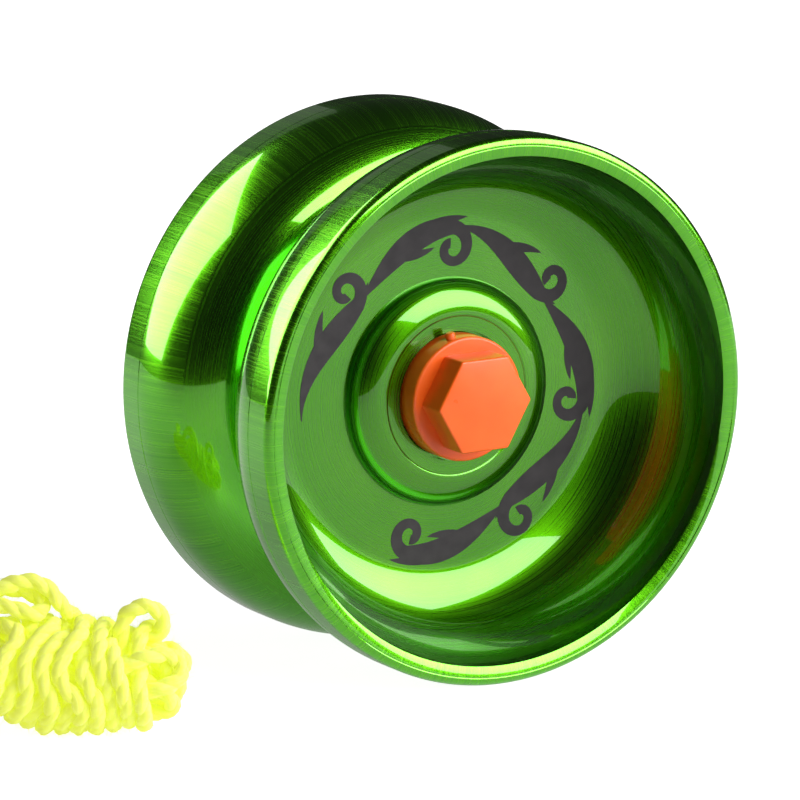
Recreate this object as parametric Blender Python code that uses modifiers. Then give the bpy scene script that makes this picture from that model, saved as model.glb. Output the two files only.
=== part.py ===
"""Unresponsive-style metal yo-yo with cupped sides and hexagonal hub caps, and its loose string.

The spin axis is the world Y axis and the origin is the middle of the string gap. The front half
faces -Y and the back half is its twin, turned about X. The yo-yo stands on its rims at
Z = -RIM_RADIUS, and the string lies beside it on the same surface, folded into a hank.

Turned pieces are drawn as (radius, height) profiles: height runs out from the middle of the gap
along the spin axis.
"""

import math

import bmesh
import bpy
from mathutils import Matrix, Vector

MM = 0.001

# --- whole yo-yo ---
RIM_RADIUS = 27.5 * MM
HALF_WIDTH = 14.5 * MM
GAP_HALF = 1.5 * MM
GAP = 0.3 * MM
RUNNING_GAP = 0.07 * MM

# --- metal cup ---
NOSE_RADIUS = 0.8 * MM
LAND_INNER_RADIUS = 25.8 * MM
LIP_RADIUS = 25.5 * MM
LIP_DROP = 0.25 * MM
BAND_WIDTH = 3.7 * MM
FLOOR_RADIUS = 17.5 * MM
FLOOR_HEIGHT = 2.6 * MM
BOSS_RADIUS = 11.6 * MM
BOSS_CREST_RADIUS = 8.3 * MM
BOSS_CREST_HEIGHT = 4.85 * MM
RECESS_RADIUS = 6.6 * MM
RECESS_FLOOR = 3.9 * MM
RECESS_MOUTH = 4.6 * MM
SEAT_RADIUS = 6.8 * MM
SEAT_HEIGHT = 2.9 * MM
WEB_HOLE_RADIUS = 4.3 * MM
CUP_SIDES = 40

# --- response pad ---
PAD_GROOVE = (8.3 * MM, 10.3 * MM)
PAD_GROOVE_DEPTH = 0.7 * MM
PAD_THICKNESS = 0.45 * MM
PAD_PROUD = 0.05 * MM

# --- hub cap ---
CAP_RADIUS = 6.3 * MM
CAP_CHAMFER = 0.3 * MM
CAP_SHOULDER = 6.9 * MM
CAP_TOP = 10.2 * MM
CAP_ACROSS_FLATS = 9.3 * MM
CAP_ROOF = 1.0 * MM
KNOB_OVERLAP = 0.6 * MM

# --- axle and fasteners ---
AXLE_RADIUS = 2.0 * MM
AXLE_HALF_LENGTH = 8.8 * MM
AXLE_CHAMFER = 0.35 * MM
NUT_ACROSS_FLATS = 7.0 * MM
NUT_THICKNESS = 3.2 * MM
NUT_BORE_RADIUS = 2.08 * MM
WASHER_RADIUS = 4.5 * MM
WASHER_THICKNESS = 0.8 * MM
CLEARANCE_RADIUS = 2.2 * MM
BUSH_POST_END = 0.2 * MM

# --- bearing, 1/4 x 1/2 x 3/16 inch ---
BEARING_BORE_RADIUS = 3.175 * MM
BEARING_RADIUS = 6.35 * MM
BEARING_HALF_WIDTH = 2.38 * MM
BALL_RADIUS = 1.12 * MM
BALL_PITCH_RADIUS = 4.76 * MM
BALL_COUNT = 8
INNER_RACE_RADIUS = 4.15 * MM
OUTER_RACE_RADIUS = 5.37 * MM
SHIELD_SEAT_RADIUS = 5.75 * MM
SHIELD_HEIGHT = 1.85 * MM
SHIELD_THICKNESS = 0.16 * MM
SNAP_RING_WIDTH = 0.35 * MM
SNAP_RING_WIRE_RADIUS = 0.1 * MM
SNAP_RING_HEIGHT = 2.21 * MM
SNAP_RING_OPENING = math.radians(14)
SNAP_RING_POINTS = 24
CAGE_HALF_DEPTH = 0.3 * MM
CAGE_LOW = 0.3 * MM
CAGE_HIGH = 1.7 * MM
SMALL_SIDES = 24

# --- string ---
STRING_DIAMETER = 1.65 * MM
HANK_LENGTH = 38.0 * MM
HANK_DEPTH = 12.0 * MM
HANK_HEIGHT = 12.0 * MM
HANK_CENTRE = (-52.5 * MM, -5.0 * MM)
HANK_TURN = math.radians(-31.0)
LOOP_SPREAD = 4.2 * MM
FINGER_LOOP_PLACE = 4.4 * MM
AXLE_LOOP_PLACE = 14.2 * MM
FINGER_LOOP_RISE = 4.6 * MM
AXLE_LOOP_RISE = 3.4 * MM
LOOP_POINTS = 9
LOOP_FULLNESS = 0.7


def clear_scene():
    for item in list(bpy.data.objects):
        bpy.data.objects.remove(item)


def new_collection(name):
    collection = bpy.data.collections.new(name)
    bpy.context.scene.collection.children.link(collection)
    return collection


def new_material(name, color, roughness, metallic):
    material = bpy.data.materials.new(name)
    material.use_nodes = True
    shader = material.node_tree.nodes["Principled BSDF"]
    shader.inputs["Base Color"].default_value = (*color, 1.0)
    shader.inputs["Roughness"].default_value = roughness
    shader.inputs["Metallic"].default_value = metallic
    return material


def add_object(name, data, collection, parent, material):
    item = bpy.data.objects.new(name, data)
    item.data.materials.append(material)
    item.parent = parent
    collection.objects.link(item)
    return item


def add_empty(name, collection, rotation):
    empty = bpy.data.objects.new(name, None)
    empty.rotation_euler = rotation
    collection.objects.link(empty)
    return empty


def shade_smooth(mesh, sharp_angle=math.radians(32)):
    mesh.shade_smooth()
    mesh.set_sharp_from_angle(angle=sharp_angle)


def elliptic_arc(centre, semi_axes, start, end, steps):
    """Points of an ellipse from start to end, angles in degrees from the radius direction."""
    points = []
    for step in range(steps + 1):
        angle = math.radians(start + (end - start) * step / steps)
        points.append(
            (centre[0] + semi_axes[0] * math.cos(angle), centre[1] + semi_axes[1] * math.sin(angle))
        )
    return points


def annulus(inner_radius, outer_radius, low, high):
    """A square-cornered ring's profile, its outer side first."""
    return [(outer_radius, high), (outer_radius, low), (inner_radius, low), (inner_radius, high)]


def turned_mesh(name, profile, sides, closed=True):
    """A profile of (radius, height) points, screwed round Z. An open one starts and ends on the axis."""
    mesh = bpy.data.meshes.new(name)
    last = len(profile) - 1
    edges = [(i, i + 1) for i in range(last)]
    if closed:
        edges.append((last, 0))
    mesh.from_pydata([(radius, 0.0, height) for radius, height in profile], edges, [])
    mesh["sides"] = sides
    return mesh


def add_turned(name, mesh, collection, parent, material):
    item = add_object(name, mesh, collection, parent, material)
    screw = item.modifiers.new("turn", "SCREW")
    screw.steps = mesh["sides"]
    screw.render_steps = mesh["sides"]
    screw.use_merge_vertices = True
    screw.merge_threshold = 0.000001
    screw.use_smooth_shade = True
    return item


def evaluated_copy(source, name):
    """The mesh of an object with its modifiers applied."""
    graph = bpy.context.evaluated_depsgraph_get()
    mesh = bpy.data.meshes.new_from_object(source.evaluated_get(graph))
    mesh.name = name
    return mesh


def hexagon_prism(name, across_flats, low, high):
    """A prism along Z with two of its corners on the X axis."""
    mesh = bpy.data.meshes.new(name)
    shape = bmesh.new()
    corner_radius = across_flats / 2 / math.cos(math.radians(30))
    bmesh.ops.create_cone(
        shape, cap_ends=True, segments=6, radius1=corner_radius, radius2=corner_radius, depth=high - low
    )
    shape.verts.ensure_lookup_table()
    to_corner = shape.verts[0].co.xy
    turn = -math.atan2(to_corner.y, to_corner.x)
    bmesh.ops.rotate(shape, verts=shape.verts, matrix=Matrix.Rotation(turn, 3, "Z"))
    bmesh.ops.translate(shape, verts=shape.verts, vec=(0, 0, (low + high) / 2))
    shape.to_mesh(mesh)
    shape.free()
    return mesh


def add_boolean(item, other, operation):
    boolean = item.modifiers.new(other.name, "BOOLEAN")
    boolean.operation = operation
    boolean.object = other
    return boolean


# ---------------------------------------------------------------------------------------------
# The halves
# ---------------------------------------------------------------------------------------------


def cup_profile():
    """Rim, flank, gap wall with its pad groove, bearing seat, cap recess, boss, floor and bowl."""
    nose = elliptic_arc(
        (RIM_RADIUS - NOSE_RADIUS, HALF_WIDTH - NOSE_RADIUS), (NOSE_RADIUS, NOSE_RADIUS), 90, 0, 2
    )
    band_bottom = HALF_WIDTH - BAND_WIDTH
    flank = elliptic_arc(
        (FLOOR_RADIUS, band_bottom), (RIM_RADIUS - FLOOR_RADIUS, band_bottom - GAP_HALF), 0, -90, 7
    )
    groove_floor = GAP_HALF + PAD_GROOVE_DEPTH
    hub = [
        (PAD_GROOVE[1], GAP_HALF),
        (PAD_GROOVE[1], groove_floor),
        (PAD_GROOVE[0], groove_floor),
        (PAD_GROOVE[0], GAP_HALF),
        (SEAT_RADIUS, GAP_HALF),
        (SEAT_RADIUS, SEAT_HEIGHT),
        (WEB_HOLE_RADIUS, SEAT_HEIGHT),
        (WEB_HOLE_RADIUS, RECESS_FLOOR),
        (RECESS_RADIUS, RECESS_FLOOR),
        (RECESS_RADIUS, RECESS_MOUTH),
    ]
    dome = elliptic_arc(
        (BOSS_CREST_RADIUS, FLOOR_HEIGHT),
        (BOSS_RADIUS - BOSS_CREST_RADIUS, BOSS_CREST_HEIGHT - FLOOR_HEIGHT),
        90,
        0,
        4,
    )
    lip_height = HALF_WIDTH - LIP_DROP
    bowl = elliptic_arc(
        (FLOOR_RADIUS, lip_height), (LIP_RADIUS - FLOOR_RADIUS, lip_height - FLOOR_HEIGHT), -90, 0, 7
    )
    return nose + flank + hub + dome + bowl + [(LAND_INNER_RADIUS, HALF_WIDTH)]


def cap_blank_profile():
    """The cap's round base, with a counterbore that covers the washer."""
    base = RECESS_FLOOR + GAP
    counterbore_radius = WASHER_RADIUS + GAP
    counterbore_top = base + WASHER_THICKNESS + GAP
    return [
        (0.0, CAP_SHOULDER),
        (CAP_RADIUS - CAP_CHAMFER, CAP_SHOULDER),
        (CAP_RADIUS, CAP_SHOULDER - CAP_CHAMFER),
        (CAP_RADIUS, base),
        (counterbore_radius, base),
        (counterbore_radius, counterbore_top),
        (0.0, counterbore_top),
    ]


def cap_mesh(cutters):
    """Round base with a hexagonal knob on it, and a hexagonal pocket inside that grips the nut."""
    blank_mesh = turned_mesh("cap_blank", cap_blank_profile(), SMALL_SIDES, closed=False)
    blank = add_turned("cap_blank", blank_mesh, cutters, None, None)
    knob = add_object(
        "cap_knob",
        hexagon_prism("cap_knob", CAP_ACROSS_FLATS, CAP_SHOULDER - KNOB_OVERLAP, CAP_TOP),
        cutters,
        None,
        None,
    )
    pocket = add_object(
        "cap_pocket",
        hexagon_prism("cap_pocket", NUT_ACROSS_FLATS + 2 * GAP, RECESS_FLOOR, CAP_TOP - CAP_ROOF),
        cutters,
        None,
        None,
    )
    add_boolean(blank, knob, "UNION")
    add_boolean(blank, pocket, "DIFFERENCE")
    mesh = evaluated_copy(blank, "hex_cap")
    for helper in (blank, knob, pocket):
        bpy.data.objects.remove(helper)
    shade_smooth(mesh)
    return mesh


def nut_mesh(cutters, low):
    """An M4 hexagon nut with a plain bore."""
    body_mesh = hexagon_prism("nut_body", NUT_ACROSS_FLATS, low, low + NUT_THICKNESS)
    body = add_object("nut_body", body_mesh, cutters, None, None)
    drill_profile = [(0.0, low + NUT_THICKNESS * 2), (NUT_BORE_RADIUS, low + NUT_THICKNESS * 2)]
    drill_profile += [(NUT_BORE_RADIUS, low - NUT_THICKNESS), (0.0, low - NUT_THICKNESS)]
    drill_mesh = turned_mesh("nut_drill", drill_profile, SMALL_SIDES, closed=False)
    drill = add_turned("nut_drill", drill_mesh, cutters, None, None)
    add_boolean(body, drill, "DIFFERENCE")
    mesh = evaluated_copy(body, "axle_nut")
    for helper in (body, drill):
        bpy.data.objects.remove(helper)
    shade_smooth(mesh)
    return mesh


def bush_profile():
    """A flanged bush: its post centres the bearing's bore, and its flange passes through the web."""
    post_radius = BEARING_BORE_RADIUS - RUNNING_GAP * 2
    flange_radius = WEB_HOLE_RADIUS - GAP
    shoulder = BEARING_HALF_WIDTH + GAP
    return [
        (flange_radius, RECESS_FLOOR - RUNNING_GAP),
        (flange_radius, shoulder),
        (post_radius, shoulder),
        (post_radius, BUSH_POST_END),
        (CLEARANCE_RADIUS, BUSH_POST_END),
        (CLEARANCE_RADIUS, RECESS_FLOOR - RUNNING_GAP),
    ]


def half_meshes(cutters):
    washer_low = RECESS_FLOOR + GAP
    nut_low = washer_low + WASHER_THICKNESS + GAP
    pad_low = GAP_HALF - PAD_PROUD
    pad = annulus(PAD_GROOVE[0] + GAP, PAD_GROOVE[1] - GAP, pad_low, pad_low + PAD_THICKNESS)
    washer = annulus(CLEARANCE_RADIUS, WASHER_RADIUS, washer_low, washer_low + WASHER_THICKNESS)
    return {
        "cup": turned_mesh("cup", cup_profile(), CUP_SIDES),
        "response_pad": turned_mesh("response_pad", pad, CUP_SIDES),
        "bearing_bush": turned_mesh("bearing_bush", bush_profile(), SMALL_SIDES),
        "axle_washer": turned_mesh("axle_washer", washer, SMALL_SIDES),
        "axle_nut": nut_mesh(cutters, nut_low),
        "hex_cap": cap_mesh(cutters),
    }


def add_half(side, meshes, frame, collection, materials):
    for piece, mesh in meshes.items():
        add = add_turned if "sides" in mesh else add_object
        add(f"{side}_{piece}", mesh, collection, frame, materials[piece])


# ---------------------------------------------------------------------------------------------
# The axle and the bearing
# ---------------------------------------------------------------------------------------------


def axle_profile():
    end = AXLE_HALF_LENGTH
    return [
        (0.0, end),
        (AXLE_RADIUS - AXLE_CHAMFER, end),
        (AXLE_RADIUS, end - AXLE_CHAMFER),
        (AXLE_RADIUS, -end + AXLE_CHAMFER),
        (AXLE_RADIUS - AXLE_CHAMFER, -end),
        (0.0, -end),
    ]


def race_groove(side, steps):
    """The ball track across a race: side is -1 on the inner race and +1 on the outer one."""
    track = BALL_RADIUS + RUNNING_GAP
    wall = INNER_RACE_RADIUS if side < 0 else OUTER_RACE_RADIUS
    reach = abs(wall - BALL_PITCH_RADIUS)
    half_angle = math.degrees(math.acos(reach / track))
    middle = 180 if side < 0 else 0
    return elliptic_arc(
        (BALL_PITCH_RADIUS, 0.0), (track, track), middle - half_angle, middle + half_angle, steps
    )


def inner_race_profile():
    half = BEARING_HALF_WIDTH
    outer_side = [(INNER_RACE_RADIUS, half)]
    outer_side += race_groove(-1, 4)
    outer_side += [(INNER_RACE_RADIUS, -half)]
    return outer_side + [(BEARING_BORE_RADIUS, -half), (BEARING_BORE_RADIUS, half)]


def outer_race_profile():
    half = BEARING_HALF_WIDTH
    seat = SHIELD_HEIGHT - RUNNING_GAP
    inner_side = [
        (SHIELD_SEAT_RADIUS, -half),
        (SHIELD_SEAT_RADIUS, -seat),
        (OUTER_RACE_RADIUS, -seat),
    ]
    inner_side += race_groove(1, 4)
    inner_side += [
        (OUTER_RACE_RADIUS, seat),
        (SHIELD_SEAT_RADIUS, seat),
        (SHIELD_SEAT_RADIUS, half),
    ]
    return [(BEARING_RADIUS, half), (BEARING_RADIUS, -half)] + inner_side


def ball_place(index):
    angle = 2 * math.pi * index / BALL_COUNT
    return Vector((BALL_PITCH_RADIUS * math.cos(angle), BALL_PITCH_RADIUS * math.sin(angle), 0.0))


def spheres_mesh(name, radius, places):
    mesh = bpy.data.meshes.new(name)
    shape = bmesh.new()
    for place in places:
        made = bmesh.ops.create_icosphere(shape, subdivisions=2, radius=radius)
        bmesh.ops.translate(shape, verts=made["verts"], vec=place)
    shape.to_mesh(mesh)
    shape.free()
    mesh.shade_smooth()
    return mesh


def cage_mesh(cutters):
    """A crown cage: a ring on one side of the balls, with a round pocket for each."""
    ring_profile = annulus(
        BALL_PITCH_RADIUS - CAGE_HALF_DEPTH, BALL_PITCH_RADIUS + CAGE_HALF_DEPTH, CAGE_LOW, CAGE_HIGH
    )
    ring_mesh = turned_mesh("cage_ring", ring_profile, SMALL_SIDES)
    ring = add_turned("cage_ring", ring_mesh, cutters, None, None)
    places = [ball_place(index) for index in range(BALL_COUNT)]
    pocket_mesh = spheres_mesh("cage_pockets", BALL_RADIUS + 2 * RUNNING_GAP, places)
    pockets = add_object("cage_pockets", pocket_mesh, cutters, None, None)
    add_boolean(ring, pockets, "DIFFERENCE")
    mesh = evaluated_copy(ring, "bearing_cage")
    for helper in (ring, pockets):
        bpy.data.objects.remove(helper)
    shade_smooth(mesh)
    return mesh


def snap_ring_curve():
    """A spring wire bent nearly full circle, which holds a shield in the outer race."""
    ring_radius = SHIELD_SEAT_RADIUS - SNAP_RING_WIDTH / 2
    curve = bpy.data.curves.new("snap_ring", "CURVE")
    curve.dimensions = "3D"
    curve.bevel_depth = SNAP_RING_WIRE_RADIUS
    curve.bevel_resolution = 0
    curve.use_fill_caps = True
    spline = curve.splines.new("POLY")
    spline.points.add(SNAP_RING_POINTS - 1)
    for index, point in enumerate(spline.points):
        share = index / (SNAP_RING_POINTS - 1)
        angle = SNAP_RING_OPENING / 2 + (2 * math.pi - SNAP_RING_OPENING) * share
        point.co = (ring_radius * math.cos(angle), ring_radius * math.sin(angle), 0.0, 1.0)
    return curve


def add_bearing(frame, collection, cutters, materials):
    shield_profile = annulus(
        INNER_RACE_RADIUS + 2 * RUNNING_GAP,
        SHIELD_SEAT_RADIUS - 2 * RUNNING_GAP,
        SHIELD_HEIGHT,
        SHIELD_HEIGHT + SHIELD_THICKNESS,
    )
    steel = materials["bearing_steel"]
    inner_race = turned_mesh("inner_race", inner_race_profile(), SMALL_SIDES)
    add_turned("bearing_inner_race", inner_race, collection, frame, steel)
    outer_race = turned_mesh("outer_race", outer_race_profile(), SMALL_SIDES)
    add_turned("bearing_outer_race", outer_race, collection, frame, steel)
    ball_mesh = spheres_mesh("ball", BALL_RADIUS, [Vector()])
    for index in range(BALL_COUNT):
        ball = add_object(f"bearing_ball_{index + 1}", ball_mesh, collection, frame, steel)
        ball.location = ball_place(index)
    add_object("bearing_cage", cage_mesh(cutters), collection, frame, materials["bearing_cage"])
    shield_mesh = turned_mesh("shield", shield_profile, SMALL_SIDES)
    ring_curve = snap_ring_curve()
    for side, turn, sign in (("front", 0.0, 1), ("back", math.pi, -1)):
        shield = add_turned(f"{side}_bearing_shield", shield_mesh, collection, frame, steel)
        shield.rotation_euler = (turn, 0.0, 0.0)
        ring = add_object(f"{side}_snap_ring", ring_curve, collection, frame, materials["snap_ring"])
        ring.rotation_euler = (turn, 0.0, 0.0)
        ring.location = (0.0, 0.0, sign * SNAP_RING_HEIGHT)


# ---------------------------------------------------------------------------------------------
# The string
# ---------------------------------------------------------------------------------------------


def add_hank(frame, collection, material):
    """The folded bundle: an outline with round ends, extruded to the bundle's height."""
    end_radius = HANK_DEPTH / 2
    straight = HANK_LENGTH / 2 - end_radius
    curve = bpy.data.curves.new("string_hank", "CURVE")
    curve.dimensions = "2D"
    curve.fill_mode = "BOTH"
    curve.extrude = HANK_HEIGHT / 2
    round_end = (end_radius, end_radius)
    outline = elliptic_arc((straight, 0.0), round_end, -90, 90, 8)
    outline += elliptic_arc((-straight, 0.0), round_end, 90, 270, 8)
    spline = curve.splines.new("POLY")
    spline.points.add(len(outline) - 1)
    for point, (x, y) in zip(spline.points, outline):
        point.co = (x, y, 0.0, 1.0)
    spline.use_cyclic_u = True
    add_object("string_hank", curve, collection, frame, material)


def add_string_loop(name, centre_x, rise, frame, collection, material):
    """One end's loop, which stands out of the top of the bundle."""
    curve = bpy.data.curves.new(name, "CURVE")
    curve.dimensions = "3D"
    curve.bevel_depth = STRING_DIAMETER / 2
    curve.bevel_resolution = 2
    curve.use_fill_caps = True
    foot = HANK_HEIGHT / 2 + GAP
    spline = curve.splines.new("POLY")
    spline.points.add(LOOP_POINTS - 1)
    for index, point in enumerate(spline.points):
        angle = math.pi * index / (LOOP_POINTS - 1)
        x = centre_x - LOOP_SPREAD / 2 * math.cos(angle)
        point.co = (x, 0.0, foot + rise * math.sin(angle) ** LOOP_FULLNESS, 1.0)
    add_object(name, curve, collection, frame, material)


def add_string(collection, material):
    frame = add_empty("string_frame", collection, (0.0, 0.0, HANK_TURN))
    frame.location = (*HANK_CENTRE, -RIM_RADIUS + HANK_HEIGHT / 2)
    add_hank(frame, collection, material)
    loops = (
        ("string_finger_loop", FINGER_LOOP_PLACE, FINGER_LOOP_RISE),
        ("string_axle_loop", AXLE_LOOP_PLACE, AXLE_LOOP_RISE),
    )
    for name, place, rise in loops:
        add_string_loop(name, place, rise, frame, collection, material)


def main():
    clear_scene()
    parts = new_collection("yo_yo")
    cutters = new_collection("cutters")
    cutters.hide_render = True
    green = new_material("green_lacquer", (0.10, 0.36, 0.02), 0.16, 0.9)
    orange = new_material("orange_plastic", (0.95, 0.20, 0.04), 0.35, 0.0)
    zinc = new_material("zinc_plated_steel", (0.62, 0.63, 0.64), 0.32, 1.0)
    brass = new_material("brass", (0.71, 0.53, 0.25), 0.3, 1.0)
    silicone = new_material("white_silicone", (0.80, 0.80, 0.78), 0.6, 0.0)
    steel = new_material("bearing_steel", (0.70, 0.71, 0.73), 0.16, 1.0)
    yellow = new_material("yellow_string", (0.78, 0.92, 0.05), 0.9, 0.0)
    piece_materials = {
        "cup": green,
        "response_pad": silicone,
        "bearing_bush": brass,
        "axle_washer": zinc,
        "axle_nut": zinc,
        "hex_cap": orange,
    }
    facing_front = (math.pi / 2, 0.0, 0.0)
    facing_back = (-math.pi / 2, 0.0, 0.0)
    meshes = half_meshes(cutters)
    add_half("front", meshes, add_empty("front_half", parts, facing_front), parts, piece_materials)
    add_half("back", meshes, add_empty("back_half", parts, facing_back), parts, piece_materials)
    core = add_empty("core", parts, facing_front)
    axle = turned_mesh("axle_rod", axle_profile(), SMALL_SIDES, closed=False)
    add_turned("axle_rod", axle, parts, core, zinc)
    bearing_materials = {"bearing_steel": steel, "bearing_cage": brass, "snap_ring": zinc}
    add_bearing(core, parts, cutters, bearing_materials)
    add_string(parts, yellow)


main()
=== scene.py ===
"""The looks of a metal yo-yo with cupped sides, and of the loose string that lies beside it.

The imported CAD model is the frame: the spin axis is the Y axis, the origin is the middle of the
string gap, the front half faces -Y, and everything stands on the floor at the lowest point of
the rims. Lengths are in metres, and MM makes millimetres of them.

Turned pieces are drawn as (radius, height) profiles: height runs out from the middle of the gap
along the spin axis.
"""

import math

import bmesh
import bpy
import numpy as np
from mathutils import Matrix, Vector


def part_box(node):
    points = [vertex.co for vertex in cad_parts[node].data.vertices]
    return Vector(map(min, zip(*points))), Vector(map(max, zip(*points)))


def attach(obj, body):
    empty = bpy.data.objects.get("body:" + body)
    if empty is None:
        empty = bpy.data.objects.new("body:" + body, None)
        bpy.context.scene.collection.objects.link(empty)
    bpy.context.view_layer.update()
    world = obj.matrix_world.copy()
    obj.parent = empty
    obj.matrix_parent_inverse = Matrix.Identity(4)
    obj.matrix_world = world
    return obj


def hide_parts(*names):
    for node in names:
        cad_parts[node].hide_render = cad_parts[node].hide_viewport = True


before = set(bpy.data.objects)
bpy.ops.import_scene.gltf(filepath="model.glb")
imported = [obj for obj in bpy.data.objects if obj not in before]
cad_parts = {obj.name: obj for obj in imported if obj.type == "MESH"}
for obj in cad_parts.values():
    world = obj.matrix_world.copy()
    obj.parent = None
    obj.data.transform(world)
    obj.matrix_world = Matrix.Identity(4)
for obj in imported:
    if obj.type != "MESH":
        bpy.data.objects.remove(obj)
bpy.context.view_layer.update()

MM = 0.001

# --- camera ---
CAMERA_AZIMUTH = math.radians(-31.3)
CAMERA_ELEVATION = math.radians(12.3)
CAMERA_DISTANCE = 0.7
VIEW_WIDTH = 79.9 * MM
AIM_RIGHT = -3.15 * MM
AIM_UP = -1.33 * MM

# --- sizes read from the frame ---
cup_low, cup_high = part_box("front_cup")
cap_low, cap_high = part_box("front_hex_cap")
axle_low, axle_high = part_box("axle_rod")
hank_low, hank_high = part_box("string_hank")
RIM_RADIUS = cup_high.x
HALF_WIDTH = -cup_low.y
GAP_HALF = -cup_high.y
FLOOR_Z = cup_low.z
CAP_RADIUS = cap_high.x
CAP_BASE = -cap_high.y
CAP_TOP = -cap_low.y

# --- cup ---
NOSE_RADIUS = 0.8 * MM
LAND_OUTER_RADIUS = RIM_RADIUS - 0.98 * MM
LAND_INNER_RADIUS = 25.8 * MM
LIP_RADIUS = 25.5 * MM
LIP_HEIGHT = HALF_WIDTH - 0.25 * MM
BAND_WIDTH = 3.7 * MM
FLOOR_RADIUS = 17.5 * MM
FLOOR_HEIGHT = 2.6 * MM
BOSS_RADIUS = 11.6 * MM
BOSS_CREST_RADIUS = 8.3 * MM
BOSS_CREST_HEIGHT = 4.85 * MM
RECESS_RADIUS = 6.6 * MM
RECESS_FLOOR = 3.9 * MM
RECESS_MOUTH = 4.75 * MM
SEAT_RADIUS = 6.8 * MM
SEAT_HEIGHT = 2.9 * MM
WEB_HOLE_RADIUS = 4.3 * MM
PAD_GROOVE_INNER = 8.3 * MM
PAD_GROOVE_OUTER = 10.3 * MM
PAD_GROOVE_DEPTH = 0.7 * MM
FINE_LINE = 0.05 * MM
CUP_SIDES = 256

# --- hub cap ---
CAP_SHOULDER = 6.9 * MM
CAP_ACROSS_FLATS = 9.3 * MM
CAP_ROOF = 1.0 * MM
CAP_CHAMFER = 0.3 * MM
CAP_SHARP_ANGLE = math.radians(24)
NUT_POCKET_ACROSS_FLATS = 7.6 * MM
COUNTERBORE_RADIUS = 4.8 * MM
COUNTERBORE_TOP = CAP_BASE + 1.1 * MM

# --- string ---
STRING_LENGTH = 1.0
STRING_DIAMETER = 1.65 * MM
HANK_TURN = math.radians(-31.0)


def lerp(low, high, share):
    return low + (high - low) * share


def unit(vectors):
    """The rows at length 1."""
    return vectors / np.linalg.norm(vectors, axis=1)[:, None]


def put_in_scene(name, data):
    """A new object in the scene with this mesh, camera or light."""
    made = bpy.data.objects.new(name, data)
    bpy.context.scene.collection.objects.link(made)
    return made


# === Materials ===


def add_node(tree, kind, inputs=None, **settings):
    """A shader node. An input's value is a number, a tuple or another node's output socket."""
    made = tree.nodes.new("ShaderNode" + kind)
    for key, value in settings.items():
        setattr(made, key, value)
    for key, value in (inputs or {}).items():
        if isinstance(value, bpy.types.NodeSocket):
            tree.links.new(value, made.inputs[key])
        else:
            made.inputs[key].default_value = value
    return made


def add_math(tree, operation, first, second=0.0):
    """The result of an operation on two numbers or sockets, or on the first alone."""
    return add_node(tree, "Math", {0: first, 1: second}, operation=operation).outputs[0]


def add_blend(tree, share, low, high):
    """A colour between low and high."""
    return add_node(tree, "Mix", {0: share, 6: low, 7: high}, data_type="RGBA").outputs[2]


def lerp_sockets(tree, share, low, high):
    """A number between low and high."""
    return add_node(tree, "Mix", {0: share, 2: low, 3: high}, data_type="FLOAT").outputs[0]


def add_range(tree, value, low, high, to_low=0.0, to_high=1.0):
    """The value, moved smoothly from the range low to high into the range to_low to to_high."""
    inputs = {0: value, 1: low, 2: high, 3: to_low, 4: to_high}
    return add_node(tree, "MapRange", inputs, interpolation_type="SMOOTHSTEP").outputs[0]


def new_material(name, **sockets):
    """A Principled material with these socket values, and its tree and shader."""
    material = bpy.data.materials.new(name)
    material.use_nodes = True
    tree = material.node_tree
    shader = tree.nodes["Principled BSDF"]
    for key, value in sockets.items():
        shader.inputs[key.replace("_", " ")].default_value = value
    return material, tree, shader


def link(tree, output, shader, socket):
    tree.links.new(output, shader.inputs[socket])


def object_place(tree):
    """The place of a surface point in its object's own coordinates."""
    return add_node(tree, "TexCoord").outputs["Object"]


def noise(tree, place, scale, detail):
    """Soft noise from 0 to 1, with about scale blotches to a unit of place."""
    inputs = {"Vector": place, "Scale": scale, "Detail": detail}
    return add_node(tree, "TexNoise", inputs).outputs["Fac"]


def add_colour(tree, shader, share, dark, pale):
    """A surface colour between dark and pale, which are (red, green, blue)."""
    link(tree, add_blend(tree, share, (*dark, 1.0), (*pale, 1.0)), shader, "Base Color")


def add_bump(tree, shader, height, strength, distance):
    inputs = {"Height": height, "Strength": strength, "Distance": distance}
    link(tree, add_node(tree, "Bump", inputs).outputs[0], shader, "Normal")


def radial_coordinates(tree):
    """(place, direction away from the spin axis as a unit vector, distance from the axis)."""
    place = object_place(tree)
    flat = add_node(tree, "VectorMath", {0: place, 1: (1.0, 0.0, 1.0)}, operation="MULTIPLY").outputs[0]
    away = add_node(tree, "VectorMath", {0: flat}, operation="NORMALIZE").outputs[0]
    radius = add_node(tree, "VectorMath", {0: flat}, operation="LENGTH").outputs["Value"]
    return place, away, radius


def turning_marks(tree, radius, pitch):
    """Noise in fine rings round the spin axis."""
    inputs = {"W": radius, "Scale": 1 / pitch, "Detail": 2.0}
    return add_node(tree, "TexNoise", inputs, noise_dimensions="1D").outputs["Fac"]


BRUSHED_FROM = LIP_RADIUS - 0.1 * MM
BRUSHED_FULLY = LIP_RADIUS + 0.2 * MM
RING_PITCH = 0.16 * MM
OUTSIDE_DARK = (0.048, 0.36, 0.002, 1.0)
OUTSIDE_PALE = (0.15, 0.58, 0.010, 1.0)
# The bowl's colours are darker than the outside's: painted shade in the hollow of the cup.
INSIDE_SHADED_DARK = (0.032, 0.235, 0.001, 1.0)
INSIDE_SHADED_PALE = (0.098, 0.35, 0.002, 1.0)
GRAINS_PER_METRE = 26000.0
POLISHED_ROUGHNESS = 0.07
SATIN_OUTSIDE = 0.25
SATIN_INSIDE = 0.29
SATIN_VARIES = 0.05


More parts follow.
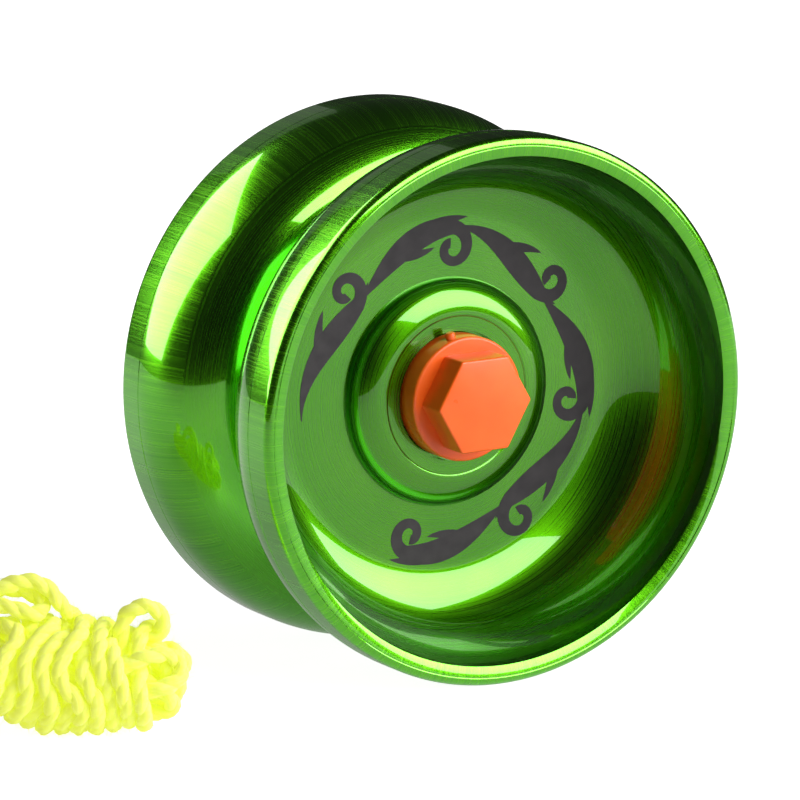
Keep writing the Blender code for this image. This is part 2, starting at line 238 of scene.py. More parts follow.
def green_lacquer():
    """Transparent green lacquer over turned metal: fine grains of the metal are polished or satin,
    so that it shows a sharp reflection on top of a soft one, and the rims are brushed.

    Noise below the polished share leaves a grain polished: more of them outside than in the bowl. The
    bowl's green is darker than the outside's, a painted shade.
    """
    polished_outside, polished_inside, polished_rim = 0.50, 0.30, 0.38
    material, tree, shader = new_material(
        "green_lacquer", Metallic=1.0, Coat_Weight=1.0, Coat_Roughness=0.015, Coat_IOR=1.54
    )
    place, away, radius = radial_coordinates(tree)
    streaks = lerp_sockets(tree, 0.35, noise(tree, away, 190.0, 3.0), noise(tree, away, 40.0, 3.0))
    rings = turning_marks(tree, radius, RING_PITCH)
    patches = noise(tree, place, 90.0, 4.0)

    on_rim = add_range(tree, radius, BRUSHED_FROM, BRUSHED_FULLY)
    height = add_math(tree, "ABSOLUTE", add_node(tree, "SeparateXYZ", {0: place}).outputs["Y"])
    in_bowl = in_cup(tree, radius, height)

    tone = lerp_sockets(tree, on_rim, patches, add_range(tree, streaks, 0.12, 0.82))
    outside = add_blend(tree, tone, OUTSIDE_DARK, OUTSIDE_PALE)
    # The darker colours inside the bowl paint shade into the hollow of the cup.
    inside = add_blend(tree, tone, INSIDE_SHADED_DARK, INSIDE_SHADED_PALE)
    link(tree, add_blend(tree, in_bowl, outside, inside), shader, "Base Color")

    grain = noise(tree, place, GRAINS_PER_METRE, 0.0)
    polished_share = lerp_sockets(tree, in_bowl, polished_outside, polished_inside)
    polished_share = lerp_sockets(tree, on_rim, polished_share, polished_rim)
    is_satin = add_math(tree, "GREATER_THAN", grain, polished_share)
    marks = lerp_sockets(tree, on_rim, rings, streaks)
    unevenness = add_range(tree, marks, 0.3, 0.7, -SATIN_VARIES, SATIN_VARIES)
    satin = add_math(tree, "ADD", unevenness, lerp_sockets(tree, in_bowl, SATIN_OUTSIDE, SATIN_INSIDE))
    link(tree, lerp_sockets(tree, is_satin, POLISHED_ROUGHNESS, satin), shader, "Roughness")

    shallow_rings = add_math(tree, "MULTIPLY", rings, 0.12)
    shallow_streaks = add_math(tree, "MULTIPLY", streaks, 0.24)
    relief = lerp_sockets(tree, on_rim, shallow_rings, shallow_streaks)
    add_bump(tree, shader, relief, 0.3, 0.01 * MM)
    return material


def in_cup(tree, radius, height):
    """1 on the surface inside the cup and 0 outside: an elliptic bowl in the wall tells them apart."""
    centre = 12.5 * MM
    depth = 10.5 * MM
    reach = 9.0 * MM
    share = add_math(tree, "DIVIDE", add_math(tree, "SUBTRACT", radius, FLOOR_RADIUS), reach)
    share = add_math(tree, "MAXIMUM", share, 0.0)
    squared = add_math(tree, "MULTIPLY", share, share)
    curve = add_math(tree, "SQRT", add_math(tree, "SUBTRACT", 1.0, squared))
    middle = add_math(tree, "SUBTRACT", centre, add_math(tree, "MULTIPLY", curve, depth))
    above = add_math(tree, "GREATER_THAN", height, middle)
    return add_math(tree, "MULTIPLY", above, add_math(tree, "LESS_THAN", radius, LIP_RADIUS))


def orange_plastic():
    """Injection-moulded plastic, a little translucent, with a faintly uneven skin."""
    material, tree, shader = new_material(
        "orange_plastic",
        Subsurface_Weight=0.12,
        Subsurface_Scale=1.0 * MM,
        Coat_Weight=0.15,
        Coat_Roughness=0.12,
    )
    shader.inputs["Subsurface Radius"].default_value = (1.0, 0.25, 0.08)
    place = object_place(tree)
    flow = noise(tree, place, 260.0, 3.0)
    grain = noise(tree, place, 5200.0, 2.0)
    add_colour(tree, shader, flow, (0.92, 0.098, 0.005), (1.0, 0.150, 0.010))
    link(tree, add_range(tree, flow, 0.3, 0.7, 0.27, 0.37), shader, "Roughness")
    add_bump(tree, shader, grain, 0.10, 0.01 * MM)
    return material


def black_ink():
    """Pad-printed ink under the clear coat, thinner in places."""
    material, tree, shader = new_material("black_ink", Specular_IOR_Level=0.3)
    place = object_place(tree)
    wear = noise(tree, place, 700.0, 5.0)
    add_colour(tree, shader, wear, (0.018, 0.016, 0.018), (0.045, 0.038, 0.042))
    link(tree, add_range(tree, wear, 0.3, 0.7, 0.30, 0.48), shader, "Roughness")
    return material


def turned_metal(name, dark, bright, roughness, pitch=0.06 * MM):
    """Plated or bare metal with turning marks and slight staining."""
    material, tree, shader = new_material(name, Metallic=1.0)
    place, _, radius = radial_coordinates(tree)
    marks = turning_marks(tree, radius, pitch)
    stain = noise(tree, place, 420.0, 4.0)
    add_colour(tree, shader, stain, dark, bright)
    link(tree, add_range(tree, marks, 0.3, 0.7, roughness * 0.75, roughness * 1.3), shader, "Roughness")
    add_bump(tree, shader, marks, 0.2, 0.005 * MM)
    return material


def white_silicone():
    """Matt silicone rubber with a little dust on it."""
    material, tree, shader = new_material(
        "white_silicone", Subsurface_Weight=0.3, Subsurface_Scale=0.8 * MM, IOR=1.41
    )
    place = object_place(tree)
    dust = noise(tree, place, 900.0, 4.0)
    add_colour(tree, shader, dust, (0.60, 0.60, 0.57), (0.80, 0.80, 0.77))
    link(tree, add_range(tree, dust, 0.3, 0.7, 0.5, 0.7), shader, "Roughness")
    add_bump(tree, shader, dust, 0.2, 0.02 * MM)
    return material


def yellow_yarn():
    """Fluorescent spun yarn: fibres run along each ply, with a matt, fuzzy skin, and a glow of painted
    light that fills its shade.
    """
    material, tree, shader = new_material(
        "yellow_yarn",
        Roughness=0.85,
        Sheen_Weight=0.5,
        Sheen_Roughness=0.5,
        Subsurface_Weight=0.6,
        Subsurface_Scale=0.9 * MM,
        # Emission is painted light: a yellow glow that fills the yarn's shade, in place of the fluorescence
        # of its dye.
        Emission_Strength=0.24,
    )
    shader.inputs["Subsurface Radius"].default_value = (1.0, 1.0, 0.3)
    shader.inputs["Sheen Tint"].default_value = (1.0, 1.0, 0.55, 1.0)
    shader.inputs["Emission Color"].default_value = (0.93, 1.0, 0.05, 1.0)
    strand = add_node(tree, "UVMap", uv_map="strand").outputs[0]
    along = add_node(tree, "Mapping", {"Vector": strand, "Scale": (14.0, 0.9, 1.0)}).outputs[0]
    fibres = noise(tree, along, 1.0, 5.0)
    tufts = noise(tree, object_place(tree), 1500.0, 4.0)
    lay = lerp_sockets(tree, 0.4, fibres, tufts)
    add_colour(tree, shader, lay, (0.66, 0.73, 0.0), (0.90, 0.94, 0.34))
    add_bump(tree, shader, lay, 0.8, 0.12 * MM)
    return material


# === Mesh building ===

FACINGS = {"front": Matrix.Rotation(math.pi / 2, 4, "X"), "back": Matrix.Rotation(-math.pi / 2, 4, "X")}
SHARP_ANGLE = math.radians(32)
NO_SHARP_EDGES = math.radians(180)


def new_piece(name, points, faces, material, sharp_angle=SHARP_ANGLE):
    """A smooth-shaded mesh object in the scene, with edges sharper than the angle kept."""
    mesh = bpy.data.meshes.new(name)
    mesh.from_pydata([tuple(p) for p in points], [], faces)
    mesh.validate()
    piece = put_in_scene(name, mesh)
    mesh.materials.append(material)
    shade_smooth(mesh, sharp_angle)
    return piece


def shade_smooth(mesh, sharp_angle=SHARP_ANGLE):
    mesh.shade_smooth()
    mesh.set_sharp_from_angle(angle=sharp_angle)


def elliptic_arc(centre, semi_axes, start, end, steps):
    """Points of an ellipse from start to end, angles in degrees from the radius direction."""
    angles = np.radians(np.linspace(start, end, steps + 1))
    return [
        (centre[0] + semi_axes[0] * math.cos(angle), centre[1] + semi_axes[1] * math.sin(angle))
        for angle in angles
    ]


def turned_faces(count, sides):
    """Quads of a closed profile of count points turned through sides steps."""
    rings = np.arange(sides)[:, None] * count
    here = np.arange(count)[None, :]
    after = (here + 1) % count
    turned = (rings + count) % (sides * count)
    quads = np.stack([rings + here, rings + after, turned + after, turned + here], axis=2)
    return quads.reshape(-1, 4).tolist()


def turned_piece(name, profile, sides, material, facing):
    """A closed profile of (radius, height) points turned round the spin axis."""
    outline = np.array(profile)
    angles = 2 * math.pi * np.arange(sides) / sides
    points = np.stack(
        [
            np.outer(np.cos(angles), outline[:, 0]),
            np.outer(np.sin(angles), outline[:, 0]),
            np.tile(outline[:, 1], (sides, 1)),
        ],
        axis=2,
    ).reshape(-1, 3)
    piece = new_piece(name, points, turned_faces(len(outline), sides), material)
    piece.data.transform(facing)
    outward(piece.data)
    return piece


def outward(mesh):
    """Turns the mesh's faces outward."""
    shape = bmesh.new()
    shape.from_mesh(mesh)
    bmesh.ops.recalc_face_normals(shape, faces=shape.faces)
    shape.to_mesh(mesh)
    shape.free()


def rounded(profile, radius, steps=3, least_turn=math.radians(30)):
    """The same closed profile with its sharp corners rounded."""
    points = [Vector(p) for p in profile]
    result = []
    for index, corner in enumerate(points):
        before = points[index - 1] - corner
        after = points[(index + 1) % len(points)] - corner
        turn = math.pi - before.angle(after)
        room = min(before.length, after.length) * 0.45
        back_off = min(radius * math.tan(turn / 2), room)
        if turn < least_turn:
            result.append(tuple(corner))
            continue
        start = corner + before.normalized() * back_off
        end = corner + after.normalized() * back_off
        for step in range(steps + 1):
            share = step / steps
            bend = start.lerp(corner, share).lerp(corner.lerp(end, share), share)
            result.append(tuple(bend))
    return result


def cad_profile(node):
    """The (radius, height) profile of a turned CAD node, from the section of its mesh along +X."""
    tolerance = 0.002 * MM
    shape = bmesh.new()
    shape.from_mesh(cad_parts[node].data)
    bmesh.ops.remove_doubles(shape, verts=shape.verts, dist=tolerance)
    section = [v for v in shape.verts if abs(v.co.z) < tolerance and v.co.x > tolerance]
    edges = {v.index: [] for v in section}
    for edge in shape.edges:
        first, second = (v.index for v in edge.verts)
        if first in edges and second in edges:
            edges[first].append(second)
            edges[second].append(first)
    places = {v.index: (v.co.x, v.co.y) for v in section}
    shape.free()
    start = min(edges)
    order, previous = [start], None
    while True:
        onward = [i for i in edges[order[-1]] if i != previous]
        previous = order[-1]
        if not onward or onward[0] == start:
            break
        order.append(onward[0])
    return [places[i] for i in order]


# === Camera, floor and light ===


def add_camera():
    """The camera at the photograph's viewing angle, aimed a little beside the origin."""
    away = Vector(
        (
            math.sin(CAMERA_AZIMUTH) * math.cos(CAMERA_ELEVATION),
            -math.cos(CAMERA_AZIMUTH) * math.cos(CAMERA_ELEVATION),
            math.sin(CAMERA_ELEVATION),
        )
    )
    right = Vector((math.cos(CAMERA_AZIMUTH), math.sin(CAMERA_AZIMUTH), 0.0))
    up = away.cross(right)
    camera = put_in_scene("camera", bpy.data.cameras.new("camera"))
    camera.location = right * AIM_RIGHT + up * AIM_UP + away * CAMERA_DISTANCE
    camera.rotation_euler = away.to_track_quat("Z", "Y").to_euler()
    camera.data.lens = camera.data.sensor_width * CAMERA_DISTANCE / VIEW_WIDTH
    camera.data.clip_start = 0.01
    bpy.context.scene.camera = camera


def add_floor():
    """A round, pale table top, which gives a little light of its own so that shadows stay faint.

    The camera sees it nearly white, as in the cleaned-up photo, and the yo-yo mirrors it greyer.
    """
    radius, centre_x, centre_y = 0.42, 0.062, 0.102
    sides = 96
    material, tree, shader = new_material("pale_floor", Roughness=0.9, Specular_IOR_Level=0.1)
    place = object_place(tree)
    grain = noise(tree, place, 300.0, 3.0)
    add_colour(tree, shader, grain, (0.66, 0.66, 0.66), (0.69, 0.69, 0.69))
    shader.inputs["Emission Color"].default_value = (1.0, 1.0, 1.0, 1.0)
    depth = add_node(tree, "SeparateXYZ", {0: place}).outputs["Y"]
    # The glow that the yo-yo mirrors falls from 0.38 at the back to 0.18 at the front of the floor: painted
    # shade in its reflections.
    reflected_glow_painted_darker_in_front = add_range(tree, depth, -0.06, 0.10, 0.18, 0.38)
    seen = add_node(tree, "LightPath").outputs["Is Camera Ray"]
    link(tree, lerp_sockets(tree, seen, reflected_glow_painted_darker_in_front, 0.95), shader, "Emission Strength")
    angles = [2 * math.pi * side / sides for side in range(sides)]
    rim = [(centre_x + radius * math.cos(a), centre_y + radius * math.sin(a), FLOOR_Z) for a in angles]
    floor = new_piece("floor", rim, [tuple(range(sides))], material)


def add_softbox(name, azimuth, near, far, width, radiance):
    """A long area light which leans over the yo-yo, from a low far edge up to a near edge.

    The azimuth is the direction in which it lies, and each edge is (distance out, height).
    """
    azimuth = math.radians(azimuth)
    outward_way = Vector((math.sin(azimuth), -math.cos(azimuth), 0.0))
    near_edge = outward_way * near[0] + Vector((0, 0, near[1]))
    far_edge = outward_way * far[0] + Vector((0, 0, far[1]))
    slope = near_edge - far_edge
    across = Vector((math.cos(azimuth), math.sin(azimuth), 0.0))
    facing_away = across.cross(slope).normalized()
    if facing_away.dot((near_edge + far_edge) / 2) < 0:
        across = -across
        facing_away = -facing_away
    data = bpy.data.lights.new(name, "AREA")
    data.shape = "RECTANGLE"
    data.size = width
    data.size_y = slope.length
    data.energy = radiance * math.pi * width * slope.length
    lamp = put_in_scene(name, data)
    lamp.location = (near_edge + far_edge) / 2
    axes = Matrix((across, slope.normalized(), facing_away)).transposed()
    lamp.rotation_euler = axes.to_euler()
    return lamp


def add_world():
    """A dim room, which the camera sees as a pale backdrop where it looks past the floor."""
    world = bpy.data.worlds.new("studio")
    world.use_nodes = True
    bpy.context.scene.world = world
    tree = world.node_tree
    background = tree.nodes["Background"]
    seen = add_node(tree, "LightPath").outputs["Is Camera Ray"]
    shade = add_blend(tree, seen, (0.02, 0.02, 0.02, 1.0), (1.0, 1.0, 1.0, 1.0))
    tree.links.new(shade, background.inputs["Color"])


def add_light():
    """Three softboxes: the one on the left only makes reflections, so that no shadow falls to the right."""
    add_world()
    add_softbox("front_softbox", 42, (0.47, 0.56), (1.6, 0.08), 1.2, 6.0)
    left = add_softbox("left_softbox", -124, (0.35, 0.62), (1.38, 0.03), 0.86, 5.5)
    left.visible_diffuse = False
    add_softbox("back_softbox", 170, (0.9, 0.75), (0.95, 0.25), 0.5, 0.13)
    bpy.context.scene.view_settings.view_transform = "Standard"


# === The halves ===


def cup_profile():
    """Rim, flank, gap wall with its pad groove, bearing seat, recess, boss, floor and bowl."""
    nose_centre = (RIM_RADIUS - NOSE_RADIUS, HALF_WIDTH - NOSE_RADIUS)
    nose = elliptic_arc(nose_centre, (NOSE_RADIUS, NOSE_RADIUS), 90, 0, 12)
    band_bottom = HALF_WIDTH - BAND_WIDTH
    band = [
        (RIM_RADIUS, band_bottom + 3 * FINE_LINE),
        (RIM_RADIUS - FINE_LINE, band_bottom + 2 * FINE_LINE),
        (RIM_RADIUS - FINE_LINE, band_bottom + FINE_LINE),
    ]
    flank_size = (RIM_RADIUS - FLOOR_RADIUS, band_bottom - GAP_HALF)
    flank = elliptic_arc((FLOOR_RADIUS, band_bottom), flank_size, 0, -90, 48)
    groove_floor = GAP_HALF + PAD_GROOVE_DEPTH
    hub = [
        (PAD_GROOVE_OUTER, GAP_HALF),
        (PAD_GROOVE_OUTER, groove_floor),
        (PAD_GROOVE_INNER, groove_floor),
        (PAD_GROOVE_INNER, GAP_HALF),
        (SEAT_RADIUS, GAP_HALF),
        (SEAT_RADIUS, SEAT_HEIGHT),
        (WEB_HOLE_RADIUS, SEAT_HEIGHT),
        (WEB_HOLE_RADIUS, RECESS_FLOOR),
        (RECESS_RADIUS, RECESS_FLOOR),
        (RECESS_RADIUS, RECESS_MOUTH),
    ]
    rounding = 0.35 * MM
    crest_centre = (BOSS_CREST_RADIUS - 0.1 * MM, BOSS_CREST_HEIGHT - rounding)
    crest = elliptic_arc(crest_centre, (rounding, rounding), 130, 90, 5)
    dome_size = (BOSS_RADIUS - BOSS_CREST_RADIUS, BOSS_CREST_HEIGHT - FLOOR_HEIGHT)
    dome = elliptic_arc((BOSS_CREST_RADIUS, FLOOR_HEIGHT), dome_size, 90, 0, 28)
    bowl_size = (LIP_RADIUS - FLOOR_RADIUS, LIP_HEIGHT - FLOOR_HEIGHT)
    bowl = elliptic_arc((FLOOR_RADIUS, LIP_HEIGHT), bowl_size, -90, 0, 56)
    land = [
        (LAND_INNER_RADIUS, HALF_WIDTH - 0.12 * MM),
        (LAND_OUTER_RADIUS, HALF_WIDTH - 0.02 * MM),
        (LAND_OUTER_RADIUS + FINE_LINE, HALF_WIDTH - FINE_LINE),
        (LAND_OUTER_RADIUS + 2 * FINE_LINE, HALF_WIDTH - FINE_LINE),
    ]
    return nose + band + flank + hub + crest + dome + bowl + land


def bowl_height(radius):
    """How far out the surface inside the cup is, from the floor ring to the lip."""
    share = max(0.0, radius - FLOOR_RADIUS) / (LIP_RADIUS - FLOOR_RADIUS)
    return LIP_HEIGHT - (LIP_HEIGHT - FLOOR_HEIGHT) * math.sqrt(1 - share * share)


def helper_object(name, shape):
    """An object for Booleans, made from a bmesh, which is freed."""
    mesh = bpy.data.meshes.new(name)
    shape.to_mesh(mesh)
    shape.free()
    return put_in_scene(name, mesh)


def hexagon_prism(name, across_flats, low, high, bevel=0.0):
    """A prism along Z with two of its corners on the X axis, and its upper edges rounded."""
    shape = bmesh.new()
    radius = across_flats / 2 / math.cos(math.radians(30))
    bmesh.ops.create_cone(
        shape, cap_ends=True, segments=6, radius1=radius, radius2=radius, depth=high - low
    )
    shape.verts.ensure_lookup_table()
    to_corner = shape.verts[0].co.xy
    turn = -math.atan2(to_corner.y, to_corner.x)
    middle = (low + high) / 2
    bmesh.ops.rotate(shape, verts=shape.verts, matrix=Matrix.Rotation(turn, 3, "Z"))
    bmesh.ops.translate(shape, verts=shape.verts, vec=(0, 0, middle))
    if bevel:
        edges = [e for e in shape.edges if max(v.co.z for v in e.verts) > middle]
        bmesh.ops.bevel(shape, geom=edges, offset=bevel, segments=4, profile=0.5, affect="EDGES")
    return helper_object(name, shape)


def gate_nub(name):
    """The stub that the moulding gate left on the cap's round base."""
    radius, length = 0.55 * MM, 1.6 * MM
    reach = CAP_RADIUS + 0.62 * MM
    height = 5.95 * MM
    clock = math.radians(13)
    shape = bmesh.new()
    bmesh.ops.create_cone(
        shape, cap_ends=True, segments=20, radius1=radius, radius2=radius * 0.85, depth=length
    )
    crown = [e for e in shape.edges if min(v.co.z for v in e.verts) > 0.7 * MM]
    bmesh.ops.bevel(shape, geom=crown, offset=0.16 * MM, segments=3, profile=0.5, affect="EDGES")
    bmesh.ops.translate(shape, verts=shape.verts, vec=(0, 0, reach - length / 2))
    bmesh.ops.rotate(shape, verts=shape.verts, matrix=Matrix.Rotation(-math.pi / 2, 3, "X"))
    bmesh.ops.translate(shape, verts=shape.verts, vec=(0, 0, height))
    bmesh.ops.rotate(shape, verts=shape.verts, matrix=Matrix.Rotation(clock, 3, "Z"))
    return helper_object(name, shape)


def cap_base_profile():
    """The cap's round base, with a rounded shoulder and a counterbore for the nut's washer."""
    edge_centre = (CAP_RADIUS - CAP_CHAMFER, CAP_SHOULDER - CAP_CHAMFER)
    return [
        (0.0, CAP_SHOULDER),
        (CAP_RADIUS - 1.2 * MM, CAP_SHOULDER),
        *elliptic_arc(edge_centre, (CAP_CHAMFER, CAP_CHAMFER), 90, 0, 6),
        (CAP_RADIUS, CAP_BASE),
        (COUNTERBORE_RADIUS, CAP_BASE),
        (COUNTERBORE_RADIUS, COUNTERBORE_TOP),
        (0.0, COUNTERBORE_TOP),
    ]


def turned_solid(name, profile, sides):
    """A solid whose profile starts and ends on the axis, as a helper for Booleans."""
    points = [(radius, 0.0, height) for radius, height in profile]
    mesh = bpy.data.meshes.new(name)
    mesh.from_pydata(points, [(i, i + 1) for i in range(len(profile) - 1)], [])
    helper = put_in_scene(name, mesh)
    screw = helper.modifiers.new("turn", "SCREW")
    screw.steps = screw.render_steps = sides
    screw.use_merge_vertices = True
    screw.merge_threshold = 0.001 * MM
    return helper


def cap_mesh():
    """The cap along +Z: a round base, a hexagonal knob and a gate nub, hollowed for the nut."""
    knob_low = CAP_SHOULDER - 0.7 * MM
    base = turned_solid("cap_base", cap_base_profile(), 96)
    knob = hexagon_prism("cap_knob", CAP_ACROSS_FLATS, knob_low, CAP_TOP, bevel=0.22 * MM)
    nub = gate_nub("cap_nub")
    pocket = hexagon_prism("cap_pocket", NUT_POCKET_ACROSS_FLATS, RECESS_FLOOR, CAP_TOP - CAP_ROOF)
    for other, operation in ((knob, "UNION"), (nub, "UNION"), (pocket, "DIFFERENCE")):
        boolean = base.modifiers.new(other.name, "BOOLEAN")
        boolean.operation = operation
        boolean.object = other
        boolean.solver = "EXACT"
    graph = bpy.context.evaluated_depsgraph_get()
    mesh = bpy.data.meshes.new_from_object(base.evaluated_get(graph))
    for helper in (base, knob, nub, pocket):
        bpy.data.objects.remove(helper)
    return mesh


def add_caps(material):
    mesh = cap_mesh()
    for side, facing in FACINGS.items():
        own = mesh.copy()
        own.transform(facing)
        own.materials.clear()
        own.materials.append(material)
        shade_smooth(own, CAP_SHARP_ANGLE)
        cap = put_in_scene(f"{side}_cap_fine", own)
        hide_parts(f"{side}_hex_cap")
        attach(cap, f"{side}_half")


def add_cups(material):
    for side, facing in FACINGS.items():
        cup = turned_piece(f"{side}_cup_fine", cup_profile(), CUP_SIDES, material, facing)
        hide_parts(f"{side}_cup")
        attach(cup, f"{side}_half")


# === The printed ring of scrolls ===

PRINT_THICKNESS = 0.03 * MM
PRINT_RADIUS = 15.4 * MM
PRINT_SWING = 1.25 * MM
FIRST_CLOCK = -94.0
LAST_CLOCK = 196.0
SCROLL_COUNT = 6
CURL_SIZES = (2.0 * MM, 2.2 * MM, 1.9 * MM)
SPIKE_LEVEL = 0.8
FROND_LEVEL = 0.6


def stroke_solid(line, widths, thickness):
    """Points (x, z, height above the face) and faces of a stroke as a thin closed strip."""
    line = np.array(line)
    way = unit(np.gradient(line, axis=0))
    aside = np.stack([-way[:, 1], way[:, 0]], axis=1) * (np.array(widths) / 2)[:, None]
    left, right, count = line + aside, line - aside, len(line)
    points, faces = [], []
    for side, level in ((left, 1), (right, 1), (right, -1), (left, -1)):
        points += [(x, z, level * thickness) for x, z in side]
    for edge in range(4):
        here, after = edge * count, (edge + 1) % 4 * count
        faces += [(here + i, here + i + 1, after + i + 1, after + i) for i in range(count - 1)]
    for end in (0, count - 1):
        faces.append([edge * count + end for edge in range(4)])
    return points, faces


def polar(radius, clock):
    """A point of the face, clock in degrees clockwise from the top as seen from outside."""
    angle = math.radians(clock)
    return np.array([radius * math.sin(angle), radius * math.cos(angle)])


def stem(clock, span, hand, steps=24):
    """A stem that swings across the ring and swells: hand is +1 when it ends on the inner side."""
    line, widths = [], []
    for step in range(steps + 1):
        share = step / steps
        radius = PRINT_RADIUS + hand * PRINT_SWING * math.cos(math.pi * share)
        line.append(polar(radius, clock + span * share))
        widths.append(lerp(0.1, 2.5, math.sin(math.pi * 0.74 * share) ** 1.4) * MM)
    return line, widths


def direction(angle):
    return np.array([math.cos(angle), math.sin(angle)])


def curl(line, hand, size, steps=34):
    """The spiral that goes on from a stem's end: hand +1 turns anticlockwise, seen from outside."""
    way = line[-1] - line[-2]
    heading = math.atan2(way[1], way[0])
    centre = line[-1] + size * direction(heading + hand * math.pi / 2)
    spiral, widths = [], []
    for step in range(1, steps + 1):
        share = step / steps
        angle = heading - hand * math.pi / 2 + hand * math.radians(345) * share
        spiral.append(centre + size * (1 - 0.74 * share**0.9) * direction(angle))
        widths.append(lerp(1.5, 1.0, min(1.0, share * 2.2)) * MM)
    return spiral, widths


def leaf(clock, radius, lean, bend, length, width, steps=14):
    """A pointed leaf that starts at (clock, radius), leans clockwise from outward, and bends."""
    place = polar(radius, clock)
    line, widths = [], []
    for step in range(steps + 1):
        share = step / steps
        line.append(place)
        place = place + polar(length / steps, clock + lean + bend * share)
        widths.append(width * math.cos(math.pi / 2 * share) ** 0.8 + 0.02 * MM)
    return line, widths


def print_strokes():
    """A generic running scroll round most of the face: stems, curls and pointed leaves take turns.

    Strokes that cross differ in thickness, so that none of their faces coincide.
    """
    strokes = []
    pitch = (LAST_CLOCK - FIRST_CLOCK) / SCROLL_COUNT
    for index in range(SCROLL_COUNT):
        hand = -1 if index % 2 else 1
        clock = FIRST_CLOCK + pitch * index
        line, widths = stem(clock, pitch, hand)
        spiral, spiral_widths = curl(line, hand, CURL_SIZES[index % len(CURL_SIZES)])
        level = 1.0 - 0.12 * (index % 2)
        strokes.append((line + spiral, widths + spiral_widths, level * PRINT_THICKNESS))
        end = clock + pitch
        spike_radius = PRINT_RADIUS - hand * PRINT_SWING
        spike_lean, frond_lean = (104, 58) if hand > 0 else (76, 122)
        spike = leaf(end - 12, spike_radius, spike_lean, -26 * hand, 5.4 * MM, 1.3 * MM)
        frond = leaf(end - 24, PRINT_RADIUS, frond_lean, 34 * hand, 4.4 * MM, 1.2 * MM)
        strokes.append((*spike, SPIKE_LEVEL * PRINT_THICKNESS))
        strokes.append((*frond, FROND_LEVEL * PRINT_THICKNESS))
    return strokes


def add_prints(material):
    """The scrolls, laid on the floor of each cup and the start of its wall."""
    solids = [stroke_solid(*stroke) for stroke in print_strokes()]
    for side, sign in (("front", -1), ("back", 1)):
        points, faces = [], []
        for solid_points, solid_faces in solids:
            base = len(points)
            for x, z, rise in solid_points:
                out = bowl_height(math.hypot(x, z)) + rise
                points.append((-sign * x, sign * out, z))
            faces += [[base + i for i in face] for face in solid_faces]
        ring = new_piece(f"{side}_scroll_print", points, faces, material)
        outward(ring.data)
        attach(ring, f"{side}_half")


# === Axle, fasteners, pads and bearing ===

FINE_SIDES = 128


def add_threaded_axle(material):
    """The axle stud with its rolled thread, which runs its whole length."""
    radius, pitch, depth = axle_high.x, 0.7 * MM, 0.38 * MM
    chamfer = 0.35 * MM
    low, high = axle_low.y, axle_high.y
    sides, rings = 40, 200
    points = []
    for ring in range(rings + 1):
        along = lerp(low, high, ring / rings)
        limit = radius - max(0.0, chamfer - min(along - low, high - along))
        for side in range(sides):
            angle = 2 * math.pi * side / sides
            phase = (along / pitch - side / sides) % 1.0
            reach = min(radius - depth * abs(2 * phase - 1) ** 0.9, limit)
            points.append((reach * math.cos(angle), along, reach * math.sin(angle)))
    faces = []
    for ring in range(rings):
        here, there = ring * sides, (ring + 1) * sides
        for side in range(sides):
            after = (side + 1) % sides
            faces.append((here + side, here + after, there + after, there + side))
    faces.append(list(range(sides)))
    faces.append(list(range(rings * sides, (rings + 1) * sides)))
    axle = new_piece("axle_thread", points, faces, material)
    outward(axle.data)
    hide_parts("axle_rod")
    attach(axle, "back_half")


def add_fine_turned(node, material, body, rounding=0.05 * MM):
    """A finely turned copy of a CAD node, with its sharp edges broken. Heights become Y."""
    z_to_y = Matrix(((1, 0, 0, 0), (0, 0, 1, 0), (0, 1, 0, 0), (0, 0, 0, 1)))
    profile = rounded(cad_profile(node), rounding)
    piece = turned_piece(f"{node}_fine", profile, FINE_SIDES, material, z_to_y)
    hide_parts(node)
    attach(piece, body)


def paint(nodes, material):
    """Gives CAD nodes that stay as they are their material."""
    for node in nodes:
        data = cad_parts[node].data
        data.materials.clear()
        data.materials.append(material)


def add_core(steel, brass, zinc, silicone):
    for side in ("front", "back"):
        add_fine_turned(f"{side}_response_pad", silicone, f"{side}_half", 0.1 * MM)
        add_fine_turned(f"{side}_bearing_bush", brass, f"{side}_half")
        add_fine_turned(f"{side}_bearing_shield", steel, "bearing_ring", 0.02 * MM)
    add_fine_turned("front_axle_washer", zinc, "front_washer")
    add_fine_turned("back_axle_washer", zinc, "back_half")
    add_fine_turned("bearing_inner_race", steel, "back_half")
    add_fine_turned("bearing_outer_race", steel, "bearing_ring")
    add_threaded_axle(zinc)
    paint([f"bearing_ball_{i}" for i in range(1, 9)], steel)
    paint(["bearing_cage"], brass)
    paint(["front_axle_nut", "back_axle_nut", "front_snap_ring", "back_snap_ring"], zinc)


# === The string ===

HANK_CENTRE = (hank_low + hank_high) / 2
TO_HANK = Matrix.Translation(HANK_CENTRE) @ Matrix.Rotation(HANK_TURN, 4, "Z")
SETTLING_STEP = 0.8 * MM
FINE_STEP = 0.33 * MM
HANK_HALF_LENGTH = 18.7 * MM
HANK_HALF_DEPTH = 5.1 * MM
HANK_HALF_HEIGHT = 5.15 * MM
SHOULDER_LIFT = 2.6 * MM
WRAP_LEANS = (1.5, 1.35, 1.2, 1.1, 0.8, 0.2, 0.0)
WRAP_HALF_HEIGHTS = (3.9, 4.4, 4.7, 4.9, 4.9, 4.8, 4.6)


def wrap_points(centre_x, travel, lean, half_depth, half_height, steps=14):
    """A turn round the bundle, from its top down the near side: lean moves the foot to +x."""
    points = []
    for step in range(steps):
        angle = 2 * math.pi * (step / steps)
        x = centre_x + travel * step / steps - lean * math.cos(angle)
        points.append((x, -half_depth * math.sin(angle), half_height * math.cos(angle)))
    return points


def run_places():
    """Where the lengthwise runs go in the bundle's section, so that folds join far ones."""
    places = []
    for row, height in enumerate((-2.7, -1.1, 0.5, 2.1)):
        across = (-2.55, -0.85, 0.85, 2.55) if row % 2 else (-1.7, 0.0, 1.7)
        places += [(y, height) for y in across]
    half = len(places) // 2
    return [place for pair in zip(places, places[half:]) for place in pair]


